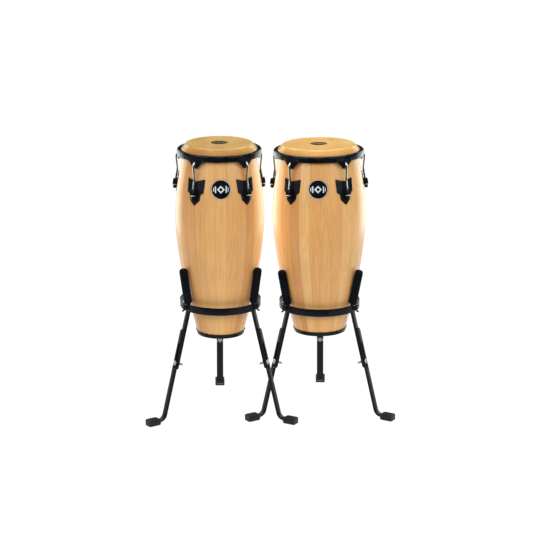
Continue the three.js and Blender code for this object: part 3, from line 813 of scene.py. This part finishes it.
def add_nut(drum, angle, number):
    """A capped, flanged hexagon nut and the bright washer between it and the receiver."""
    name = f"{drum.name}_tuning_nut_{number}"
    top = RECEIVER_H - RECEIVER_TALL / 2 - NUT_DROP
    rows = [(-13, 0.3, 0), (-12.9, 2.4, 0), (-12.4, 4.4, 0.1), (-11.3, 6.0, 0.4), (-10.0, 6.8, 0.9),
            (-9.0, 7.1, 1), (-3.8, 7.1, 1), (-3.4, 7.4, 0.2), (-2.8, 7.6, 0), (-0.5, 7.6, 0), (0, 7.2, 0)]
    hollow = [(0, NUT_BORE_R / MM, 0), (-10.6, NUT_BORE_R / MM, 0)]
    nut = loft(f"{name}_fine", [nut_ring(*row) for row in rows + hollow], rod_seat(drum, angle, top))
    place(nut, name, "black_steel", RIM_STEEL, name)
    profile = washer_profile(NUT_BORE_R + 0.15 * MM, WASHER_OUT, 2.6 * MM)
    washer = lathe(f"{drum.name}_washer_{number}", profile, rod_seat(drum, angle, top + 0.6 * MM), 48)
    place(washer, drum.body, "chrome", BRIGHT)


def washer_profile(inner, outer, tall):
    """A washer's section, for lathe, with its outer edges softened."""
    soft = tall * 0.25
    return [(inner, 0), (outer - soft, 0), (outer, soft), (outer, tall - soft), (outer - soft, tall),
            (inner, tall)]


def on_badge(points):
    """Points about the badge's middle, as (across, height) on the shell."""
    return [(x, y + BADGE_H) for x, y in points]


def add_badge(drum):
    """A round black badge with a pale outline and a plain lozenge between bars."""
    disc, rim_out, rim_in = (circle(BADGE_R - less * MM, 72) for less in (0, 0.2, 1.7))
    badge = shell_sheet(f"{drum.name}_badge_fine", drum, 0, on_badge(disc), SKIN_GAP, BADGE_T)
    place(badge, drum.body, "badge_lacquer", BADGE_BLACK, f"{drum.name}_badge")
    lozenge, inner = ([(0, r), (r, 0), (0, -r), (-r, 0)] for r in (14 * MM, 7.2 * MM))
    shapes = [(rim_out, rim_in), (lozenge, inner)]
    for side in (-1, 1):
        for near, far, half in ((17, 21.5, 12), (24.5, 27.5, 7)):
            corners = ((near, half), (far, half), (far, -half), (near, -half))
            shapes.append(([(side * x * MM, y * MM) for x, y in corners],))
    inlays = [shell_sheet("inlay", drum, 0, on_badge(outline), SKIN_GAP + BADGE_T - 0.1 * MM, 0.35 * MM,
                          [on_badge(hole) for hole in holes]) for outline, *holes in shapes]
    place(merged(f"{drum.name}_badge_inlays", inlays), drum.body, "chrome", BADGE_SILVER)


def add_drum(drum, seed):
    add_shell(drum, seed)
    add_bottom_ring(drum)
    add_head(drum, seed)
    add_rim(drum)
    add_badge(drum)
    for number, angle in enumerate(TUNING_ANGLES, 1):
        add_hook(drum, angle, number)
        add_side_plate(drum, angle, number)
        add_nut(drum, angle, number)


# ---- the stand ----


class LegLine:
    """Where a leg's bars run in a spoke: upright along the ring, leaning out above it, splayed below it."""

    def __init__(self, drum):
        inside = (drum.ring_r - RING_T) * math.cos(math.pi / CAD_RING_SIDES) - GAP
        self.bar_r = math.sqrt(inside**2 - (BAR_WIDTH / 2) ** 2) - BAR_T / 2
        self.sleeve_low = drum.ring_z + RING_TALL / 2 + SLEEVE_LIFT
        self.sleeve_top = self.sleeve_low + SLEEVE_LENGTH
        self.bend_top = drum.ring_z + BEND_BELOW_RING
        self.bend_low = drum.ring_z - BEND_BELOW_RING
        touch = self.sleeve_top - SLEEVE_DOME - 4 * MM
        touch_r = drum.radius((touch - drum.base) / drum.stretch) + SLEEVE_R + SLEEVE_GAP
        self.lean = (touch_r - self.bar_r) / (touch - self.bend_top)
        clamp_r = self.bar_r + (self.bend_low - drum.clamp_z) * math.tan(LEG_SPLAY)
        self.clamp = Vector((clamp_r, 0, drum.clamp_z))
        self.down = Vector((math.sin(LEG_SPLAY), 0, -math.cos(LEG_SPLAY)))
        self.across = Vector((math.cos(LEG_SPLAY), 0, math.sin(LEG_SPLAY)))

    def upper(self, z):
        """The upper bar's middle above the ring."""
        return Vector((self.bar_r + (z - self.bend_top) * self.lean, 0, z))


def eased(points, reach, count=5):
    """A path with its inner corners rounded over a reach."""
    result = [points[0]]
    for before, corner, after in zip(points, points[1:], points[2:]):
        start = corner + (before - corner).normalized() * reach
        end = corner + (after - corner).normalized() * reach
        for i in range(count + 1):
            t = i / count
            result.append(start * (1 - t) ** 2 + corner * 2 * t * (1 - t) + end * t**2)
    return [*result, points[-1]]


def bar(name, points, matrix, round_start=0.0, round_end=0.0):
    """A flat bar along a path, with soft edges. A rounded end is drawn in by narrowing its last sections."""
    path = list(points)
    widths = [1.0] * len(path)
    steps = 6
    for end, radius in ((0, round_start), (-1, round_end)):
        if not radius:
            continue
        tip, neighbour = path[end], path[1 if end == 0 else -2]
        inward = (neighbour - tip).normalized()
        turns = [math.pi / 2 * i / steps for i in range(steps)]
        extra = [*(tip + inward * radius * (1 - math.sin(turn)) for turn in turns), tip]
        drawn = [*(1 - (1 - math.cos(turn) ** 0.5) * 0.75 for turn in turns), 0.32]
        if end == 0:
            path, widths = extra[::-1] + path[1:], drawn[::-1] + widths[1:]
        else:
            path, widths = path[:-1] + extra, widths[:-1] + drawn
    shapes = [section(BAR_WIDTH * w, BAR_T, 1.3 * MM) for w in widths]
    return loft(name, along(path, shapes), matrix)


def add_upper_leg(drum, leg, name, spoke):
    """The upper bar: into its sleeve, down past the ring, and splayed to the clamp."""
    top = leg.upper(leg.sleeve_top - SLEEVE_DOME - 8 * MM)
    points = [top, leg.upper(leg.bend_top), Vector((leg.bar_r, 0, leg.bend_low)),
              leg.clamp + leg.down * UPPER_TAIL]
    piece = bar(f"{drum.name}_upper_leg_{name}_fine", eased(points, 6 * MM), spoke, round_end=9 * MM)
    place(piece, "stands", "black_steel", BLACK_STEEL, f"{drum.name}_upper_leg_{name}")


def add_lower_leg(drum, leg, name, spoke):
    """The slotted bar and its foot bend; the boot is its own piece."""
    body = f"{drum.name}_lower_leg_{name}"
    start = leg.clamp - leg.down * LAP + leg.across * (BAR_T + GAP)
    tangent = FOOT_BEND_R * math.tan((math.pi / 2 - LEG_SPLAY) / 2)
    middle = BOOT_TALL / 2
    corner = start + leg.down * ((start.z - middle) / math.cos(LEG_SPLAY))
    boot_in = corner.x + tangent
    bend = [Vector((x, 0, z)) for x, z in
            arc(boot_in, middle + FOOT_BEND_R, FOOT_BEND_R, 180 + math.degrees(LEG_SPLAY), 270, 12)]
    run = [start + (bend[0] - start) * i / 8 for i in range(8)]
    toe = Vector((boot_in + BOOT_LENGTH - 12 * MM, 0, middle))
    piece = bar(f"{body}_fine", [*run, *bend, toe], spoke, round_start=9 * MM)
    slot = [*arc(0, SLOT_UP - SLOT_HALF, SLOT_HALF, 0, 180, 12),
            *arc(0, SLOT_HALF - SLOT_DOWN, SLOT_HALF, 180, 360, 12)]
    rings = [[leg.clamp + leg.across * out - leg.down * up + Vector((0, across, 0)) for across, up in slot]
             for out in (GAP, 2 * BAR_T + 3 * MM)]
    combine(piece, [loft("slot", rings, spoke)], "DIFFERENCE")
    shade_cut(piece)
    place(piece, body, "black_steel", BLACK_STEEL, body)
    add_boot(f"{drum.name}_boot_{name}", body, boot_in, spoke)


def add_boot(name, body, boot_in, spoke):
    """A moulded rubber boot: a ribbed block with a collar where the bar goes in and a rounded toe."""
    rows = [(0, 0.84, 0.80), (0.5, 0.88, 0.86), (3.4, 0.91, 0.90), (4.2, 0.97, 0.975), (5.2, 0.99, 0.99)]
    for rib in range(9, 39, 6):
        rows += [(rib, 1, 1), (rib + 4.2, 1, 1), (rib + 4.6, 0.975, 0.98), (rib + 5.4, 0.975, 0.98)]
    rows += [(40, 1, 1), (45, 0.99, 0.99), (46.8, 0.965, 0.965), (47.7, 0.91, 0.91), (48, 0.82, 0.82)]
    corners = {0: 2.5, 47.7: 2.6, 48: 2.2}
    rings = []
    for at, wide, tall in rows:
        height = BOOT_TALL * tall
        shape = section(BOOT_WIDTH * wide, height, min(corners.get(at, 2.8) * MM, height * 0.45), 5)
        rise = BOOT_TALL / 2 if at < 4 else height / 2
        rings.append([Vector((boot_in + at * MM, across, rise + up)) for across, up in shape])
    boot = loft(name, rings, spoke, sharp=45)
    place(boot, body, "boot_rubber", BOOT_RUBBER)


def add_sleeve(drum, leg, name, spoke):
    """A soft round sleeve with a domed, closed top, slightly dented where it has been gripped."""
    foot = leg.upper(leg.sleeve_low)
    rise = Vector((leg.lean, 0, 1)).normalized()
    straight = [(0, 0.90), (0.6, 0.97), (1.8, 1.0), *((i * 6.0, 1.0) for i in range(1, 20))]
    dome = [(122, 0.995), (125.5, 0.965), (128.8, 0.90), (131.3, 0.78), (133, 0.58), (133.8, 0.32), (134, 0.06)]
    path = [foot + rise * at * MM for at, _ in straight + dome]
    radii = [SLEEVE_R * scale for _, scale in straight + dome]
    sleeve = tube(f"{drum.name}_leg_sleeve_{name}_fine", path, radii, spoke, 40)
    for vert in sleeve.data.vertices:
        local = vert.co - foot
        dent = noise.noise(vert.co * 38 + Vector((drum.top * 900, 0, spoke.to_euler().z * 9)))
        core = rise * local.dot(rise)
        vert.co = foot + core + (local - core) * (1 - 0.018 * (dent + 1))
    place(sleeve, "stands", "foam", FOAM, f"{drum.name}_leg_sleeve_{name}")


def wing_nut_mesh():
    """A round boss with a thread hole and two wings, +Z along the bolt, base at z 0."""
    profile = [(3.1, 0), (7.2, 0), (7.4, 0.8), (6.0, 8.5), (5.2, 9.6), (3.1, 9.6)]
    boss = lathe("boss", [(r * MM, h * MM) for r, h in profile], sides=32)
    half = [(4.2, 2.0), (8.0, 3.2), (12.8, 8.0), (15.2, 12.6), (14.6, 16.2), (11.6, 17.4), (8.4, 15.0),
            (5.6, 10.2), (4.2, 8.8)]
    wings = []
    for side in (-1, 1):
        outline = rounded([(side * x * MM, z * MM) for x, z in half], 3 * MM)
        slices = ((-1.5, 0.9), (-1.0, 1), (1.0, 1), (1.5, 0.9))
        wings.append(loft("wing", [slab_ring(outline, (side * 9 * MM, 9.5 * MM), y * MM, scale)
                                   for y, scale in slices]))
    combine(boss, wings, "UNION")
    shade_cut(boss)
    mesh = boss.data
    mesh.name = "wing_nut"
    bpy.data.objects.remove(boss)
    return mesh


WING_NUT = wing_nut_mesh()


def wing_nut(matrix):
    return add_object("wing_nut", WING_NUT.copy(), matrix)


def bolt(matrix, length):
    """A dome-headed bolt through the bars: the head stands at z 0 pointing down, the shank runs up +Z."""
    dome, plain = 4.2 * MM, 8 * MM
    rows = [(BOLT_HEAD_R * math.sin(a), -dome * math.cos(a)) for a in (0, 0.35, 0.7, 1.0, 1.25, 1.45)]
    rows += [(BOLT_HEAD_R, 0), (BOLT_R, 0)]
    pitches = int((length - plain) / (1 * MM))
    rows += [(BOLT_R - 0.3 * MM * (i % 2), plain + i * 0.5 * MM) for i in range(2 * pitches)]
    rows += [(BOLT_R * 0.8, length), (0, length)]
    return lathe("bolt", rows, matrix, 28)


def washer(matrix, tall):
    return lathe("washer", washer_profile(WASHER_IN, WASHER_OUT, tall), matrix, 40)


def outward_frame(at, direction, turn=0.0):
    """A frame with +Z along a direction in the spoke, turned about it."""
    return (Matrix.Translation(at) @ direction.to_track_quat("Z", "Y").to_matrix().to_4x4()
            @ Matrix.Rotation(math.radians(turn), 4, "Z"))


def add_leg_fasteners(drum, leg, name, spoke):
    """The ring bolt with its wing nut outside the ring, and the clamp bolt with its wing nut inside the lap."""
    turn = WING_TURNS[name]
    out, inward = Vector((1, 0, 0)), -leg.across
    bolt_in = Vector((leg.bar_r - BAR_T / 2, 0, drum.ring_z))
    face = Vector((drum.ring_r, 0, drum.ring_z))
    head = leg.clamp + leg.across * (BAR_T * 1.5 + GAP + 1.8 * MM)
    bar_in = leg.clamp - leg.across * (BAR_T / 2 + 0.2 * MM)
    ring = [bolt(spoke @ outward_frame(bolt_in, out), 27 * MM),
            washer(spoke @ outward_frame(face, out), 1.4 * MM),
            wing_nut(spoke @ outward_frame(face + out * 1.6 * MM, out, turn))]
    clamp = [bolt(spoke @ outward_frame(head, inward), 34 * MM),
             washer(spoke @ outward_frame(head - leg.across * 1.6 * MM, leg.across), 1.5 * MM),
             wing_nut(spoke @ outward_frame(bar_in, inward, 90 - turn))]
    for kind, pieces, slot, look in (("ring", ring, "black_steel", RIM_STEEL),
                                     ("clamp", clamp, "chrome", ZINC)):
        bpy.context.view_layer.update()
        place(merged(f"{drum.name}_{kind}_fastener_{name}", pieces), "stands", slot, look)


def add_stand(drum):
    """The basket ring and its three legs."""
    edge = 1.1 * MM
    half = RING_TALL / 2
    outer, inner = drum.ring_r, drum.ring_r - RING_T
    profile = [
        *arc(outer - edge, -half + edge, edge, -90, 0, 4), *arc(outer - edge, half - edge, edge, 0, 90, 4),
        *arc(inner + edge, half - edge, edge, 90, 180, 4), *arc(inner + edge, -half + edge, edge, 180, 270, 4),
    ]
    middle = Matrix.Translation(drum.axis + Vector((0, 0, drum.ring_z)))
    ring = lathe(f"{drum.name}_basket_ring_fine", profile, middle, 180)
    place(ring, "stands", "black_steel", BLACK_STEEL, f"{drum.name}_basket_ring")
    leg = LegLine(drum)
    for name, angle in drum.legs.items():
        spoke = drum.leg_spoke(angle)
        add_upper_leg(drum, leg, name, spoke)
        add_sleeve(drum, leg, name, spoke)
        add_lower_leg(drum, leg, name, spoke)
        add_leg_fasteners(drum, leg, name, spoke)


# ---- the scene ----


def glowing_sheet(name, x, front, back, z, **inputs):
    """A level sheet that gives off a little light of its own."""
    sheet = add_mesh(name, [(-x, front, z), (x, front, z), (x, back, z), (-x, back, z)], [(0, 1, 2, 3)])
    sheet.data.materials.append(Look(f"{name}_look", Specular_IOR_Level=0.1, **inputs).material)
    return sheet


def add_floor():
    """White paper, lit from below like a light table, on a studio floor of the walls' grey."""
    paper = glowing_sheet("paper", 5, -1.45, 22, 0, Roughness=0.9, Base_Color=PAPER_GREY,
                          Emission_Color=(1, 1, 1, 1), Emission_Strength=PAPER_GLOW)
    floor = glowing_sheet("studio_floor", 30, -30, 30, -0.05, Roughness=0.8, Base_Color=(0, 0, 0, 1),
                          Emission_Color=WALL_TINT, Emission_Strength=WALL_LIGHT)


def add_light(name, place_at, target, size, radiance, color=(1, 1, 1), lit=None):
    """A rectangular softbox, for everything or for one set of pieces only.

    Its power follows from its area and how bright its face is."""
    light = bpy.data.lights.new(name, "AREA")
    light.shape = "RECTANGLE"
    light.size, light.size_y = size
    light.energy = radiance * math.pi * size[0] * size[1]
    light.color = color
    lamp = add_object(name, light)
    lamp.location = place_at
    lamp.rotation_euler = (Vector(target) - Vector(place_at)).to_track_quat("-Z", "Y").to_euler()
    lamp.visible_camera = False
    if lit:
        lamp.light_linking.receiver_collection = lit
        lamp.light_linking.blocker_collection = lit


def add_world():
    """The studio's walls: dark grey, so that only the lamps and the paper show in gloss."""
    world = bpy.data.worlds.new("studio")
    world.use_nodes = True
    background = world.node_tree.nodes["Background"]
    background.inputs["Color"].default_value = WALL_TINT
    background.inputs["Strength"].default_value = WALL_LIGHT
    bpy.context.scene.world = world


def light_drum(drum):
    """Each drum has lamps of its own, which the other drum does not shade: the two were lit one by one."""
    lit = bpy.data.collections.new(f"{drum.name}_lit")
    for piece in bpy.context.scene.objects:
        if piece.type == "MESH" and piece.name.startswith(drum.name):
            lit.objects.link(piece)
    x, y = drum.place().translation.xy
    for side in (-1, 1):
        add_light(f"{drum.name}_side_panel", (x + side * 1.75, y + 1.75, 0.7), (x, y + 0.8, 0.7),
                  (1.9, 2.9), 3.0, PANEL_TINT, lit)
        add_light(f"{drum.name}_front_panel", (x + side * 2.9, y - 2.5, 2.5), (x, y, 0.9),
                  (3.0, 2.6), 3.5, lit=lit)
    add_light(f"{drum.name}_top_softbox", (x, y + 0.5, 3.2), (x, y + 0.1, 0.8),
              (2.6, 2.6), TOP_RADIANCE[drum.name], lit=lit)


def add_camera():
    """A long lens in front of the players' side, a little above the heads, looking down at the pair."""
    camera = bpy.data.cameras.new("camera")
    camera.sensor_width = 36
    camera.lens = LENS
    camera.clip_end = 200
    eye = add_object("camera", camera)
    eye.location = EYE
    eye.rotation_euler = (math.radians(90 - EYE_TILT), 0, 0)
    bpy.context.scene.camera = eye


for index, drum in enumerate(DRUMS):
    add_drum(drum, FIRST_SEED + SEED_STEP * index)
    add_stand(drum)

add_floor()
add_world()
for drum in DRUMS:
    light_drum(drum)
add_light("edge_strip", (0, 1.7, 3.0), (0, 0, 1.0), (3.2, 0.22), 14.0)
add_light("front_softbox", (0, -3.8, 2.7), (0, 0, 0.9), (1.4, 0.9), 10.5)
add_camera()
bpy.context.scene.view_settings.view_transform = "Standard"
